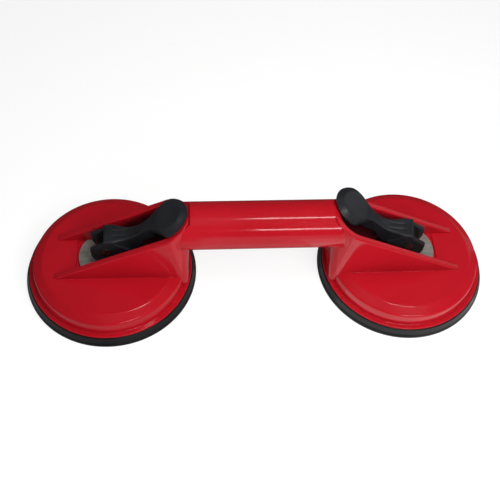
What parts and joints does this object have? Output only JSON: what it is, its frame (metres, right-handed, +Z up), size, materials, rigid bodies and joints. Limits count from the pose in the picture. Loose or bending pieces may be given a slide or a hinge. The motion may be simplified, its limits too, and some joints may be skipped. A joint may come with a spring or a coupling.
{
  "type": "hand vacuum lifter",
  "caption": "Twin-cup hand vacuum lifter: rubber suction pads under red cast cups, joined by a round grip, each drawn to a vacuum by a black cam lever.",
  "frame": {"origin": "on the surface that both pads stand on, midway between the two cups", "axes": "+X along the grip towards the right cup, +Y across the grip away from the viewer, +Z up from the pads to the grip"},
  "size_m": [0.323, 0.118, 0.0706],
  "materials": {
    "red_casting": "gloss red coating",
    "pad_rubber": "smooth black rubber",
    "lever_plastic": "satin black moulding",
    "plated_steel": "zinc plated",
    "cam_steel": "worn plating",
    "dark_steel": "blackened",
    "bush_nylon": "natural nylon"
  },
  "bodies": {
    "casting": {"body": "red_casting", "left_suction_pad": "pad_rubber", "left_guide_bush": "bush_nylon", "left_return_spring": "plated_steel", "left_spring_washer": "plated_steel", "left_cam_plate": "cam_steel", "right_suction_pad": "pad_rubber", "right_guide_bush": "bush_nylon", "right_return_spring": "plated_steel", "right_spring_washer": "plated_steel", "right_cam_plate": "cam_steel"},
    "left_draw_gear": {"left_draw_stud": "dark_steel", "left_pad_plate": "plated_steel", "left_lock_nut": "plated_steel"},
    "left_lever_arm": {"left_lever": "lever_plastic", "left_lever_pin": "plated_steel"},
    "right_draw_gear": {"right_draw_stud": "dark_steel", "right_pad_plate": "plated_steel", "right_lock_nut": "plated_steel"},
    "right_lever_arm": {"right_lever": "lever_plastic", "right_lever_pin": "plated_steel"}
  },
  "joints": [
    {"name": "left_stud_slide", "type": "slide", "parent": "casting", "child": "left_draw_gear", "axis": [0, 0, 1], "range_m": [-0.004, 0], "deforming": ["left_suction_pad", "left_return_spring"]},
    {"name": "left_lever_hinge", "type": "hinge", "parent": "left_draw_gear", "child": "left_lever_arm", "pos_m": [-0.1025, 0, 0.0365], "axis": [0, -1, 0], "range_deg": [0, 90]},
    {"name": "right_stud_slide", "type": "slide", "parent": "casting", "child": "right_draw_gear", "axis": [0, 0, 1], "range_m": [-0.004, 0], "deforming": ["right_suction_pad", "right_return_spring"]},
    {"name": "right_lever_hinge", "type": "hinge", "parent": "right_draw_gear", "child": "right_lever_arm", "pos_m": [0.1025, 0, 0.0365], "axis": [0.1564, 0.9877, 0], "range_deg": [0, 90]}
  ],
  "couplings": [
    {"joint": "left_stud_slide", "follows": "left_lever_hinge", "m_per_rad": -0.0025465},
    {"joint": "right_stud_slide", "follows": "right_lever_hinge", "m_per_rad": -0.0025465}
  ]
}
